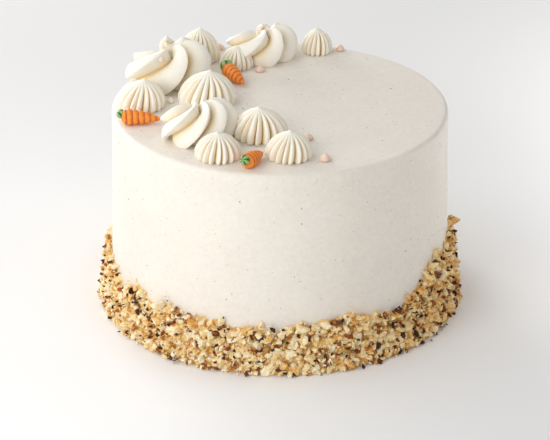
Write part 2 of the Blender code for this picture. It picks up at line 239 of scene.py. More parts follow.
class PipedIcing(Finish):
    """Cream cheese icing piped through a star tip: a little creamier, with painted warm shade in its
    creases, a fine drag grain and pin-sized air holes."""

    name = "cream_cheese_icing_piped"

    def dress(self, tree: bpy.types.NodeTree, shader: bpy.types.Node) -> None:
        """Ivory that turns to a warm tan of painted shade where the surface is hollow."""
        spot = add_node(tree, "TexCoord").outputs["Object"]
        painted_shade = add_node(tree, "Attribute", {"attribute_name": "painted_shade"}).outputs["Fac"]
        # The tan end of this ramp is painted shade in the creases and hollows.
        colour = add_ramp(
            tree,
            painted_shade,
            ((0.0, "#FDF8EC"), (0.38, "#FAEFD8"), (0.70, "#E9CF9C"), (1.0, "#CBA264")),
        )
        cloud = add_node(tree, "TexNoise", inputs={"Vector": spot, "Scale": 160.0, "Detail": 2.0})
        tone = add_node(
            tree,
            "MapRange",
            inputs={"Value": cloud.outputs["Fac"], "To Min": 0.96, "To Max": 1.03},
        )
        tinted = add_node(
            tree, "HueSaturation", inputs={"Color": colour, "Value": tone.outputs["Result"]}
        )
        tree.links.new(tinted.outputs["Color"], shader.inputs["Base Color"])
        # The grain of the icing, 0.6 mm.
        grain = add_node(tree, "TexNoise", inputs={"Vector": spot, "Scale": 1600.0, "Detail": 3.0})
        pits = add_node(
            tree, "TexVoronoi", {"feature": "F1"}, {"Vector": spot, "Scale": 420.0}
        )
        hole = add_node(
            tree,
            "MapRange",
            inputs={"Value": pits.outputs["Distance"], "From Min": 0.04, "From Max": 0.16},
        )
        first = add_node(
            tree,
            "Bump",
            inputs={"Strength": 0.30, "Distance": 0.08 * MM, "Height": grain.outputs["Fac"]},
        )
        second = add_node(
            tree,
            "Bump",
            inputs={
                "Strength": 0.35,
                "Distance": 0.10 * MM,
                "Height": hole.outputs["Result"],
                "Normal": first.outputs["Normal"],
            },
        )
        tree.links.new(second.outputs["Normal"], shader.inputs["Normal"])
        shader.inputs["Roughness"].default_value = 0.50
        shader.inputs["IOR"].default_value = 1.45
        self.soften(shader, 0.18, 1.5 * MM, (1.0, 0.72, 0.42))


class WalnutFlesh(Finish):
    """Broken walnut kernel: dry and waxy, pale cream to tan by the piece, with a
    darker line of skin on some faces and a mealy break."""

    name = "walnut_kernel_broken"

    def dress(self, tree: bpy.types.NodeTree, shader: bpy.types.Node) -> None:
        """A tint for each piece, mottled, and a rough broken grain."""
        spot = add_node(tree, "TexCoord").outputs["Object"]
        tint = add_node(tree, "Attribute", {"attribute_name": "tint"}).outputs["Fac"]
        # Each piece runs from pale flesh to golden and brown patches about 3 mm across.
        mottle = add_node(
            tree, "TexNoise", inputs={"Vector": spot, "Scale": 340.0, "Detail": 3.0,
                                      "Roughness": 0.6}
        )
        shift = add_node(
            tree,
            "MapRange",
            inputs={"Value": mottle.outputs["Fac"], "From Min": 0.35, "From Max": 0.70,
                    "To Min": -0.16, "To Max": 0.28},
        )
        mixed = add_node(
            tree, "Math", {"operation": "ADD", "use_clamp": True},
            {0: tint, 1: shift.outputs["Result"]},
        )
        colour = add_ramp(
            tree,
            mixed.outputs["Value"],
            (
                (0.00, "#FFF3D6"),
                (0.30, "#FCE4B4"),
                (0.54, "#F1CB82"),
                (0.72, "#DFA450"),
                (0.86, "#B4732F"),
                (1.00, "#6A391B"),
            ),
        )
        tree.links.new(colour, shader.inputs["Base Color"])
        # The mealy break, 0.4 mm.
        grain = add_node(tree, "TexNoise", inputs={"Vector": spot, "Scale": 2400.0, "Detail": 2.0})
        bump = add_node(
            tree,
            "Bump",
            inputs={"Strength": 0.5, "Distance": 0.10 * MM, "Height": grain.outputs["Fac"]},
        )
        tree.links.new(bump.outputs["Normal"], shader.inputs["Normal"])
        shader.inputs["Roughness"].default_value = 0.58
        shader.inputs["IOR"].default_value = 1.47
        self.soften(shader, 0.22, 1.3 * MM, (1.0, 0.68, 0.38))


class WalnutSkin(Finish):
    """The thin skin of a walnut: brown to nearly black, papery, with fine veins and
    a dull shine."""

    name = "walnut_skin"

    def dress(self, tree: bpy.types.NodeTree, shader: bpy.types.Node) -> None:
        """A brown for each flake with paler veins."""
        spot = add_node(tree, "TexCoord").outputs["Object"]
        tint = add_node(tree, "Attribute", {"attribute_name": "tint"}).outputs["Fac"]
        colour = add_ramp(
            tree,
            tint,
            ((0.0, "#BC6A32"), (0.35, "#8C4822"), (0.65, "#562B17"), (1.0, "#331B10")),
        )
        veins = add_node(
            tree, "TexNoise", inputs={"Vector": spot, "Scale": 900.0, "Detail": 4.0}
        )
        tone = add_node(
            tree,
            "MapRange",
            inputs={"Value": veins.outputs["Fac"], "From Min": 0.3, "From Max": 0.7,
                    "To Min": 0.75, "To Max": 1.25},
        )
        tinted = add_node(
            tree, "HueSaturation", inputs={"Color": colour, "Value": tone.outputs["Result"]}
        )
        tree.links.new(tinted.outputs["Color"], shader.inputs["Base Color"])
        bump = add_node(
            tree,
            "Bump",
            inputs={"Strength": 0.5, "Distance": 0.12 * MM, "Height": veins.outputs["Fac"]},
        )
        tree.links.new(bump.outputs["Normal"], shader.inputs["Normal"])
        shader.inputs["Roughness"].default_value = 0.68
        shader.inputs["IOR"].default_value = 1.36


@dataclass(frozen=True)
class SugarTones:
    """The colours of one coloured sugar icing, from its own colour on the crest to painted shade in
    the crease.
    """

    name: str
    crest: str
    middle: str
    crease: str
    roughness: float


class SugarIcing(Finish):
    """Royal icing coloured and piped, then dried: opaque, slightly glossy, with painted shade
    darkening its creases, and a faint sugar grain."""

    def __init__(self, tones: SugarTones) -> None:
        """Keeps the tones.

        Args:
            tones: The colours of this icing.
        """
        super().__init__()
        self.tones = tones
        self.name = tones.name

    def dress(self, tree: bpy.types.NodeTree, shader: bpy.types.Node) -> None:
        """Painted shade by how hollow the surface is, with a slight random mottle."""
        spot = add_node(tree, "TexCoord").outputs["Object"]
        painted_shade = add_node(tree, "Attribute", {"attribute_name": "painted_shade"}).outputs["Fac"]
        cloud = add_node(tree, "TexNoise", inputs={"Vector": spot, "Scale": 450.0, "Detail": 2.0})
        lift = add_node(
            tree,
            "MapRange",
            inputs={"Value": cloud.outputs["Fac"], "From Min": 0.3, "From Max": 0.7,
                    "To Min": -0.14, "To Max": 0.14},
        )
        mixed = add_node(
            tree, "Math", {"operation": "ADD", "use_clamp": True},
            {0: painted_shade, 1: lift.outputs["Result"]},
        )
        # From the crest colour to the painted shade of the crease.
        colour = add_ramp(
            tree,
            mixed.outputs["Value"],
            ((0.0, self.tones.crest), (0.45, self.tones.middle), (1.0, self.tones.crease)),
        )
        tree.links.new(colour, shader.inputs["Base Color"])
        grain = add_node(tree, "TexNoise", inputs={"Vector": spot, "Scale": 2200.0, "Detail": 2.0})
        bump = add_node(
            tree,
            "Bump",
            inputs={"Strength": 0.35, "Distance": 0.06 * MM, "Height": grain.outputs["Fac"]},
        )
        tree.links.new(bump.outputs["Normal"], shader.inputs["Normal"])
        shader.inputs["Roughness"].default_value = self.tones.roughness
        shader.inputs["IOR"].default_value = 1.50
        self.soften(shader, 0.10, 0.8 * MM, (1.0, 0.5, 0.25))


class SpiceFleck(Finish):
    """Ground vanilla and cinnamon in the icing: dull grey-brown specks."""

    name = "ground_spice"

    def dress(self, tree: bpy.types.NodeTree, shader: bpy.types.Node) -> None:
        """A brown for each speck."""
        tint = add_node(tree, "Attribute", {"attribute_name": "tint"}).outputs["Fac"]
        colour = add_ramp(tree, tint, ((0.0, "#D0C2AE"), (0.6, "#A8957F"), (1.0, "#6B5848")))
        tree.links.new(colour, shader.inputs["Base Color"])
        shader.inputs["Roughness"].default_value = 0.7
        shader.inputs["IOR"].default_value = 1.45


class Tabletop(Finish):
    """A white painted table: matt and even."""

    name = "white_tabletop"

    def dress(self, tree: bpy.types.NodeTree, shader: bpy.types.Node) -> None:
        """Plain off-white."""
        shader.inputs["Base Color"].default_value = linear("#FAF9F8")
        shader.inputs["Roughness"].default_value = 0.8


SPREAD_ICING = SpreadIcing()
PIPED_ICING = PipedIcing()
WALNUT_FLESH = WalnutFlesh()
WALNUT_SKIN = WalnutSkin()
SPICE = SpiceFleck()
TABLETOP = Tabletop()
# Each icing's crease colour is painted shade.
ORANGE_ICING = SugarIcing(SugarTones("orange_royal_icing", "#FA9A34", "#EF7F20", "#B84E10", 0.42))
GREEN_ICING = SugarIcing(SugarTones("green_royal_icing", "#A6C07A", "#4F8A3F", "#17351A", 0.40))
PEACH_ICING = SugarIcing(SugarTones("peach_royal_icing", "#F6DECD", "#EDCBB5", "#C79A7D", 0.50))


# ---------------------------------------------------------------- shaping


def smoothstep(low: float, high: float, value: float) -> float:
    """Rises smoothly from 0 at low to 1 at high."""
    share = min(1.0, max(0.0, (value - low) / (high - low)))
    return share * share * (3.0 - 2.0 * share)


def polar(radius: float, angle: float, z: float = 0.0) -> Vector:
    """A point at a radius, an angle in radians and a height."""
    return Vector((radius * math.cos(angle), radius * math.sin(angle), z))


def rough(point: Vector, scale: float, seed: float = 0.0) -> float:
    """Smooth noise of about -1 to 1 with features 1/scale metres across."""
    return noise.noise(point * scale + Vector((seed, 0.7 * seed, -1.3 * seed)))


def outline_at(points: Sequence[tuple[float, float]], share: float) -> tuple[float, float]:
    """A smooth curve through an outline's points.

    Args:
        points: Across and up of each point, as shares.
        share: Place along the outline, from 0 to 1.

    Returns:
        Across and up there.
    """
    last = len(points) - 1
    place = share * last
    index = min(int(place), last - 1)
    t = place - index
    before, start = points[max(index - 1, 0)], points[index]
    end, after = points[index + 1], points[min(index + 2, last)]
    result = []
    for axis in (0, 1):
        a, b, c, d = before[axis], start[axis], end[axis], after[axis]
        cubic = 2 * b + (c - a) * t + (2 * a - 5 * b + 4 * c - d) * t**2
        result.append(0.5 * (cubic + (3 * b - a - 3 * c + d) * t**3))
    return result[0], result[1]


def lobed(phase: float, lobes: int, groove: float) -> float:
    """Radius share of a star opening: round lobes between sharp creases."""
    return 1.0 - groove * (1.0 - abs(math.cos(0.5 * lobes * phase)) ** 0.75)


def bladed(phase: float, lobes: int, groove: float) -> float:
    """Radius share of a rope's lobes: a steep side up to a crest, then a broad back."""
    crest = 0.22
    place = (phase * lobes / math.tau) % 1.0
    if place < crest:
        return 1.0 - groove * (1.0 - place / crest) ** 0.9
    return 1.0 - groove * ((place - crest) / (1.0 - crest)) ** 1.7


def wrap(rows: int, around: int, place: Place) -> bmesh.types.BMesh:
    """Rolls a flat grid up into a closed skin.

    Args:
        rows: Faces along the skin.
        around: Faces round it.
        place: Gives the point and its painted shade value for hollows, for the share along and round.

    Returns:
        The mesh, with a painted shade value at each vertex.
    """
    bm = bmesh.new()
    bmesh.ops.create_grid(bm, x_segments=rows, y_segments=around, size=0.5)
    # This layer carries painted shade for creases and hollows.
    painted_shade = bm.verts.layers.float.new("painted_shade")
    for vertex in bm.verts:
        along, turn = vertex.co.x + 0.5, vertex.co.y + 0.5
        point, depth = place(min(1.0, max(0.0, along)), turn)
        vertex.co = point
        vertex[painted_shade] = depth
    bmesh.ops.remove_doubles(bm, verts=bm.verts[:], dist=0.002 * MM)
    return bm


def close_up(bm: bmesh.types.BMesh) -> None:
    """Fills open ends and turns every face outward."""
    open_edges = [edge for edge in bm.edges if edge.is_boundary]
    if open_edges:
        bmesh.ops.holes_fill(bm, edges=open_edges, sides=0)
    bmesh.ops.recalc_face_normals(bm, faces=bm.faces[:])


def box_of(bm: bmesh.types.BMesh) -> tuple[Vector, Vector]:
    """Lowest and highest corner of a mesh."""
    places = np.array([vertex.co[:] for vertex in bm.verts])
    return Vector(places.min(axis=0)), Vector(places.max(axis=0))


def seat(bm: bmesh.types.BMesh, node: str) -> None:
    """Moves a mesh over its node: middles together, feet level.

    Args:
        bm: The mesh, made about the origin.
        node: The node whose place it takes.
    """
    low, high = box_of(bm)
    floor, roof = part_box(node)
    move = 0.5 * (floor + roof) - 0.5 * (low + high)
    move.z = floor.z - low.z
    bmesh.ops.translate(bm, vec=move, verts=bm.verts[:])


def add_piece(
    bm: bmesh.types.BMesh,
    name: str,
    finish: Finish,
    nodes: Sequence[str] = (),
    sharp: float | None = None,
) -> bpy.types.Object:
    """Makes a mesh into a finished piece that rides on the model.

    Args:
        bm: The mesh; it is freed.
        name: The piece's name.
        finish: Its finish.
        nodes: The nodes that it stands for.
        sharp: Edges steeper than this many degrees stay sharp.

    Returns:
        The piece.
    """
    mesh = bpy.data.meshes.new(name)
    bm.to_mesh(mesh)
    bm.free()
    mesh.shade_smooth()
    if sharp is not None:
        mesh.set_sharp_from_angle(angle=math.radians(sharp))
    return hang(mesh, name, finish, nodes)


def hang(
    mesh: bpy.types.Mesh, name: str, finish: Finish, nodes: Sequence[str] = ()
) -> bpy.types.Object:
    """Links a mesh as a piece, with its finish and its nodes."""
    mesh.materials.clear()
    mesh.materials.append(finish.material())
    piece = bpy.data.objects.new(name, mesh)
    bpy.context.scene.collection.objects.link(piece)
    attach(piece, "root")
    if nodes:
        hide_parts(*nodes)
    LOG.info("%s: %d faces", name, len(mesh.polygons))
    return piece


def mark_hollows(bm: bmesh.types.BMesh, rounds: int, depth: float) -> None:
    """Writes how far each vertex lies below its smoothed surroundings, as painted shade for the
    recesses.

    Args:
        bm: The mesh.
        rounds: How often the copy is smoothed.
        depth: The depth in metres that counts as fully hollow.
    """
    bm.normal_update()
    before = np.array([vertex.co[:] for vertex in bm.verts])
    normals = np.array([vertex.normal[:] for vertex in bm.verts])
    copy = bm.copy()
    for _ in range(rounds):
        bmesh.ops.smooth_vert(
            copy, verts=copy.verts[:], factor=0.5, use_axis_x=True, use_axis_y=True, use_axis_z=True
        )
    after = np.array([vertex.co[:] for vertex in copy.verts])
    copy.free()
    sunk = ((after - before) * normals).sum(axis=1)
    shares = np.clip(sunk / depth, 0.0, 1.0)
    layer = bm.verts.layers.float.get("painted_shade") or bm.verts.layers.float.new("painted_shade")
    for vertex, share in zip(bm.verts, shares):
        vertex[layer] = float(share)


# ---------------------------------------------------------------- iced cake


@dataclass
class IcedCake:
    """The tall round cake in its smooth coat of icing."""

    node: str = "cake_body"
    edge_radius: float = 2.6 * MM
    foot_flare: float = 3.5 * MM
    flare_power: float = 1.2
    around: int = 300
    side_rows: int = 60
    edge_rows: int = 7
    top_rows: int = 46
    wave: float = 0.28 * MM
    flecks: int = 1500
    height: float = field(init=False)
    foot_radius: float = field(init=False)

    def __post_init__(self) -> None:
        """Takes the height and the foot's radius from the node."""
        low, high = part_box(self.node)
        self.height = high.z
        self.foot_radius = 0.5 * (high.x - low.x)

    def radius_at(self, z: float) -> float:
        """Radius of the iced side at a height: the foot spreads a little."""
        rise = max(0.0, 1.0 - z / self.height) ** self.flare_power
        return self.foot_radius - self.foot_flare * (1.0 - rise)

    def profile(self) -> list[tuple[float, float]]:
        """Radius and height from the middle of the underside to that of the top."""
        height = self.height
        side_top = height - self.edge_radius
        points = [(0.0, 0.0)]
        for row in range(self.side_rows + 1):
            z = side_top * row / self.side_rows
            points.append((self.radius_at(z), z))
        rim = self.radius_at(height) - self.edge_radius
        for row in range(1, self.edge_rows + 1):
            angle = 0.5 * math.pi * row / self.edge_rows
            z = side_top + self.edge_radius * math.sin(angle)
            points.append((rim + self.edge_radius * math.cos(angle), z))
        for row in range(1, self.top_rows + 1):
            points.append((rim * (1.0 - row / self.top_rows), height))
        return points

    def unevenness(self, point: Vector, side: float) -> float:
        """How far the knife left the icing proud or low.

        Args:
            point: A point of the true form.
            side: One on the side, none on the top.

        Returns:
            The distance in metres.
        """
        band = Vector((point.x, point.y, 2.4 * point.z))
        waves = 0.6 * rough(band, 22.0, 3.0) + 0.4 * rough(band, 55.0, 8.0)
        swept = Vector((point.x * 0.7 + point.y * 0.7, 3.2 * (point.y - point.x), point.z))
        top = 0.6 * rough(swept, 16.0, 5.0) + 0.4 * rough(swept, 40.0, 9.0)
        return self.wave * (side * waves + (1.0 - side) * top - 0.55)

    def build(self) -> None:
        """Builds the iced body and the spice in it."""
        points = self.profile()
        bm = bmesh.new()
        line = [bm.verts.new((radius, 0.0, z)) for radius, z in points]
        edges = [bm.edges.new(pair) for pair in zip(line, line[1:])]
        bmesh.ops.spin(
            bm,
            geom=line + edges,
            cent=(0.0, 0.0, 0.0),
            axis=(0.0, 0.0, 1.0),
            angle=math.tau,
            steps=self.around,
            use_merge=True,
        )
        bmesh.ops.remove_doubles(bm, verts=bm.verts[:], dist=0.01 * MM)
        bmesh.ops.recalc_face_normals(bm, faces=bm.faces[:])
        bm.normal_update()
        for vertex in bm.verts:
            if vertex.co.z > 0.5 * MM:
                side = 1.0 - vertex.normal.z**2
                vertex.co += vertex.normal * self.unevenness(vertex.co, side)
        add_piece(bm, "iced_body", SPREAD_ICING, [self.node])
        self.build_flecks()

    def build_flecks(self) -> None:
        """Spice specks of 0.2 to 0.9 mm, lying in the surface."""
        rng = np.random.default_rng(41)
        height = self.height
        rim = self.radius_at(height)
        pile = Pile([fleck_form()])
        for _ in range(self.flecks):
            size = 0.24 * MM * float(rng.lognormal(0.0, 0.38))
            size = min(size, 0.65 * MM)
            angle = float(rng.uniform(0.0, math.tau))
            if rng.uniform() < 0.36:
                radius = rim * 0.97 * math.sqrt(float(rng.uniform()))
                spot = polar(radius, angle, height)
                normal = Vector((0.0, 0.0, 1.0))
            else:
                z = float(rng.uniform(0.03, height - 0.004))
                spot = polar(self.radius_at(z), angle, z)
                normal = polar(1.0, angle)
            side = 1.0 - normal.z**2
            spot = spot + normal * (self.unevenness(spot, side) - 0.05 * size)
            turn = normal.to_track_quat("Z", "Y").to_matrix()
            turn = turn @ Matrix.Rotation(float(rng.uniform(0, math.tau)), 3, "Z")
            stretch = (size, size * float(rng.uniform(0.5, 1.0)), 0.35 * size)
            pile.add(0, spot, turn, stretch, float(rng.beta(1.6, 1.6)))
        hang(pile.mesh("spice_flecks"), "spice_flecks", SPICE)


# ---------------------------------------------------------------- heaps of small things


def mesh_arrays(bm: bmesh.types.BMesh) -> tuple[np.ndarray, np.ndarray]:
    """Points and triangles of a mesh, which is freed."""
    bmesh.ops.triangulate(bm, faces=bm.faces[:])
    bmesh.ops.recalc_face_normals(bm, faces=bm.faces[:])
    bm.verts.index_update()
    points = np.array([vertex.co[:] for vertex in bm.verts])
    faces = np.array([[vertex.index for vertex in face.verts] for face in bm.faces])
    bm.free()
    return points, faces


def fleck_form() -> tuple[np.ndarray, np.ndarray]:
    """A flat round grain of unit size."""
    bm = bmesh.new()
    bmesh.ops.create_icosphere(bm, subdivisions=1, radius=1.0)
    return mesh_arrays(bm)


def chunk_form(rng: np.random.Generator, cuts: int, flat: float) -> tuple[np.ndarray, np.ndarray]:
    """A broken piece of nut about one unit across: a knobbly lump with flat breaks.

    Args:
        rng: The source of chance.
        cuts: How many breaks.
        flat: Its thickness as a share of its width.

    Returns:
        Its points and triangles.
    """
    bm = bmesh.new()
    bmesh.ops.create_icosphere(bm, subdivisions=2, radius=0.52)
    seed = Vector(rng.uniform(-50.0, 50.0, size=3))
    for vertex in bm.verts:
        # Brain-like folds of the kernel.
        fold = noise.noise(vertex.co * 2.6 + seed) + 0.5 * noise.noise(vertex.co * 5.5 + seed)
        vertex.co *= 1.0 + 0.5 * fold
    bmesh.ops.scale(bm, vec=(1.15, float(rng.uniform(0.55, 0.95)), flat), verts=bm.verts[:])
    for _ in range(cuts):
        way = Vector(rng.normal(size=3)).normalized()
        reach = float(rng.uniform(0.12, 0.34))
        reach *= math.sqrt((way.x**2 + way.y**2) + (flat * way.z) ** 2)
        made = bmesh.ops.bisect_plane(
            bm,
            geom=bm.verts[:] + bm.edges[:] + bm.faces[:],
            plane_co=way * reach,
            plane_no=way,
            clear_outer=True,
        )["geom_cut"]
        rim = [edge for edge in made if isinstance(edge, bmesh.types.BMEdge)]
        if rim:
            bmesh.ops.holes_fill(bm, edges=rim, sides=0)
    bmesh.ops.remove_doubles(bm, verts=bm.verts[:], dist=0.10)
    return mesh_arrays(bm)


def flake_form(rng: np.random.Generator) -> tuple[np.ndarray, np.ndarray]:
    """A curled scrap of skin about one unit across."""
    bm = bmesh.new()
    bmesh.ops.create_circle(bm, cap_ends=True, segments=7, radius=0.5)
    for vertex in bm.verts:
        vertex.co.x *= float(rng.uniform(0.6, 1.15))
        vertex.co.y *= float(rng.uniform(0.35, 0.9))
    bmesh.ops.poke(bm, faces=bm.faces[:])
    curl = float(rng.uniform(0.3, 0.9))
    for vertex in bm.verts:
        vertex.co.z += curl * vertex.co.x**2 + float(rng.normal()) * 0.04
    bmesh.ops.solidify(bm, geom=bm.faces[:], thickness=0.07)
    return mesh_arrays(bm)


@dataclass
class Pile:
    """Many small copies of a few forms, joined into one mesh."""

    forms: list[tuple[np.ndarray, np.ndarray]]
    points: list[np.ndarray] = field(default_factory=list)
    faces: list[np.ndarray] = field(default_factory=list)
    tints: list[np.ndarray] = field(default_factory=list)
    count: int = 0

    def add(
        self, form: int, spot: Vector, turn: Matrix, size: Sequence[float], tint: float
    ) -> None:
        """Adds a copy.

        Args:
            form: Which form.
            spot: Its middle.
            turn: How it is turned.
            size: Its size along its own three axes.
            tint: Its tint, from 0 to 1.
        """
        points, faces = self.forms[form]
        placed = (points * np.array(size)) @ np.array(turn).T + np.array(spot)
        self.points.append(placed)
        self.faces.append(faces + self.count)
        self.tints.append(np.full(len(points), tint))
        self.count += len(points)

    def lowest(self, form: int, turn: Matrix, size: Sequence[float]) -> float:
        """How far a copy reaches below its middle."""
        points = self.forms[form][0] * np.array(size)
        return float((points @ np.array(turn).T)[:, 2].min())

    def mesh(self, name: str) -> bpy.types.Mesh:
        """The joined mesh, with a "tint" value at each vertex."""
        mesh = bpy.data.meshes.new(name)
        points = np.concatenate(self.points)
        mesh.from_pydata(points.tolist(), [], np.concatenate(self.faces).tolist())
        layer = mesh.attributes.new("tint", "FLOAT", "POINT")
        layer.data.foreach_set("value", np.concatenate(self.tints).astype(np.float32))
        mesh.update()
        return mesh


class NutKind(Enum):
    """The kinds of piece in the chopped walnuts."""

    KERNEL = "walnut_kernels"
    SKINNED = "walnut_skinned"
    FLAKE = "walnut_skin_flakes"
    CRUMB = "walnut_crumbs"


@dataclass
class WalnutBand:
    """The band of chopped walnuts pressed on to the foot of the cake."""

    cake: IcedCake
    node: str = "nut_collar"
    foot: float = 9.5 * MM
    lip: float = 3.4 * MM
    rise: float = 31.5 * MM
    ragged: float = 4.2 * MM
    kernels: int = 2400
    skinned: int = 420
    flakes: int = 760
    crumbs: int = 1100
    strays: int = 26
    # Where the nuts climb: bearing from the front in degrees, half width, rise.
    climbs: tuple[tuple[float, float, float], ...] = (
        (-90.0, 18.0, 5.5 * MM),
        (-66.0, 7.0, -5.0 * MM),
        (-53.0, 6.0, 3.5 * MM),
        (-14.0, 4.0, -3.5 * MM),
        (-2.0, 5.0, -3.0 * MM),
        (20.0, 12.0, 2.0 * MM),
        (40.0, 7.0, -3.5 * MM),
        (60.0, 8.0, 13.0 * MM),
        (75.0, 10.0, 13.0 * MM),
        (92.0, 11.0, 16.0 * MM),
        (140.0, 16.0, 8.0 * MM),
        (-150.0, 14.0, 6.0 * MM),
    )

    def height_at(self, bearing: float) -> float:
        """Height of the ragged upper edge, bearing in degrees from the front."""
        height = self.rise
        for middle, half_width, rise in self.climbs:
            away = (bearing - middle + 180.0) % 360.0 - 180.0
            height += rise * math.exp(-((away / half_width) ** 2))
        spot = polar(18.0, math.radians(bearing), 0.7)
        return height + self.ragged * noise.noise(spot)

    def reach_at(self, share: float) -> float:
        """How far the band stands out from the icing at a share of its height."""
        return self.foot + (self.lip - self.foot) * share**0.8

    def build(self) -> None:
        """Builds the core and the nuts on it."""
        self.build_core()
        rng = np.random.default_rng(7)
        chunks = [chunk_form(rng, int(rng.integers(4, 8)), f) for f in (0.9, 0.8, 0.7, 0.6, 0.5) * 4]
        flakes = [flake_form(rng) for _ in range(8)]
        self.scatter(NutKind.KERNEL, self.kernels, Pile(chunks), rng)
        self.scatter(NutKind.SKINNED, self.skinned, Pile(chunks), rng)
        self.scatter(NutKind.FLAKE, self.flakes, Pile(flakes), rng)
        self.scatter(NutKind.CRUMB, self.crumbs, Pile(chunks), rng)

    def build_core(self) -> None:
        """The pressed crumbs under the pieces, a smaller ring than the band."""
        around, rows = 360, 14

        def place(along: float, turn: float) -> tuple[Vector, float]:
            bearing = 360.0 * turn
            angle = math.radians(bearing - 90.0)
            height = self.height_at(bearing) - 2.5 * MM
            share = min(1.0, along / 0.8)
            z = height * share
            reach = max(0.4 * MM, self.reach_at(share) - 4.4 * MM)
            if along > 0.8:
                reach = reach * (1.0 - (along - 0.8) / 0.2) - 0.3 * MM
            spot = polar(self.cake.radius_at(z) + reach, angle, z)
            spot += polar(0.6 * MM * rough(spot, 420.0, 2.0), angle)
            return spot, 0.5

        bm = wrap(rows, around, place)
        foot = [edge for edge in bm.edges if edge.is_boundary and edge.verts[0].co.z < 1.0 * MM]
        inner = bmesh.ops.extrude_edge_only(bm, edges=foot)["geom"]
        for vertex in (v for v in inner if isinstance(v, bmesh.types.BMVert)):
            angle = math.atan2(vertex.co.y, vertex.co.x)
            vertex.co = polar(self.cake.radius_at(0.0) - 0.3 * MM, angle, 0.0)
        rims = [edge for edge in bm.edges if edge.is_boundary]
        bmesh.ops.bridge_loops(bm, edges=rims)
        bmesh.ops.recalc_face_normals(bm, faces=bm.faces[:])
        tint = bm.verts.layers.float.new("tint")
        for vertex in bm.verts:
            vertex[tint] = 0.50 + 0.25 * rough(vertex.co, 260.0, 6.0)
        add_piece(bm, "walnut_core", WALNUT_FLESH, [self.node])

    def scatter(self, kind: NutKind, count: int, pile: Pile, rng: np.random.Generator) -> None:
        """Lays one kind of piece over the band and a few above it.

        Args:
            kind: The kind.
            count: How many.
            pile: The pile that takes them.
            rng: The source of chance.
        """
        golden = 0.5 * (math.sqrt(5.0) - 1.0)
        start = float(rng.uniform())
        clustered = kind in (NutKind.FLAKE, NutKind.SKINNED)
        for number in range(count):
            bearing = 360.0 * ((start + number * golden) % 1.0) + float(rng.normal(0.0, 0.8))
            share = ((number + 0.5) / count + float(rng.normal(0.0, 0.02))) % 1.0
            spot = polar(11.0, math.radians(bearing), 3.2 * share)
            if clustered and noise.noise(spot) < float(rng.normal(-0.04, 0.17)):
                continue
            self.lay(kind, bearing, share, pile, rng)
        for _ in range(int(self.strays * count / self.kernels) + 4):
            bearing = float(rng.uniform(0.0, 360.0))
            share = 1.0 + float(rng.exponential(0.035))
            self.lay(kind, bearing, share, pile, rng)
        finish = WALNUT_SKIN if kind in (NutKind.FLAKE, NutKind.SKINNED) else WALNUT_FLESH
        hang(pile.mesh(kind.value), kind.value, finish)

    def lay(
        self, kind: NutKind, bearing: float, share: float, pile: Pile, rng: np.random.Generator
    ) -> None:
        """Lays one piece at a bearing and a share of the band's height."""
        form = int(rng.integers(len(pile.forms)))
        length = self.length_of(kind, rng)
        stretch = [length, length, length]
        if kind is NutKind.FLAKE:
            stretch[2] = 0.8 * length
        turn = Matrix.Rotation(float(rng.uniform(0.0, math.tau)), 3, Vector(rng.normal(size=3)))
        height = self.height_at(bearing) + float(rng.normal(0.0, 1.2)) * MM
        z = (height - 0.45 * length) * share
        within = min(1.0, share)
        low = pile.lowest(form, turn, stretch)
        z = max(z, -low)
        reach = self.reach_at(within) - 0.37 * length
        reach -= abs(float(rng.normal(0.0, 1.4))) * MM * (1.0 - 0.6 * within)
        if share > 1.0:
            reach = min(reach, 0.25 * length)
        reach = max(reach, 0.15 * length)
        reach += max(0.0, float(rng.normal(0.0, 1.2))) * MM * within
        if kind is NutKind.FLAKE:
            reach += 0.30 * length
        angle = math.radians(bearing - 90.0)
        spot = polar(self.cake.radius_at(z) + reach, angle, z)
        # The tint adds painted shade on the right side of the band.
        tint = self.tint_of(kind, rng) + self.painted_shade_on_right(bearing)
        pile.add(form, spot, turn, stretch, min(1.0, tint))

    @staticmethod
    def painted_shade_on_right(bearing: float) -> float:
        """Painted shade: how much browner the nuts are at a bearing, more on the right, away from the
        window.
        """
        away = (bearing + 180.0) % 360.0 - 180.0
        return 0.15 * smoothstep(5.0, 60.0, away) * (1.0 - smoothstep(110.0, 160.0, away))

    @staticmethod
    def length_of(kind: NutKind, rng: np.random.Generator) -> float:
        """Length of one piece."""
        middle, spread, longest = {
            NutKind.KERNEL: (6.1, 0.36, 8.8),
            NutKind.SKINNED: (4.0, 0.34, 7.5),
            NutKind.FLAKE: (3.3, 0.38, 6.2),
            NutKind.CRUMB: (2.0, 0.25, 3.0),
        }[kind]
        return min(longest, middle * float(rng.lognormal(0.0, spread))) * MM

    @staticmethod
    def tint_of(kind: NutKind, rng: np.random.Generator) -> float:
        """Tint of one piece: most kernels are pale, and a few amber."""
        low, high = {
            NutKind.KERNEL: (2.2, 4.8),
            NutKind.SKINNED: (2.0, 1.8),
            NutKind.FLAKE: (3.0, 1.5),
            NutKind.CRUMB: (2.4, 4.6),
        }[kind]
        if kind is NutKind.KERNEL and rng.uniform() < 0.12:
            low, high = 6.0, 2.4
        return float(rng.beta(low, high))


# ---------------------------------------------------------------- piping


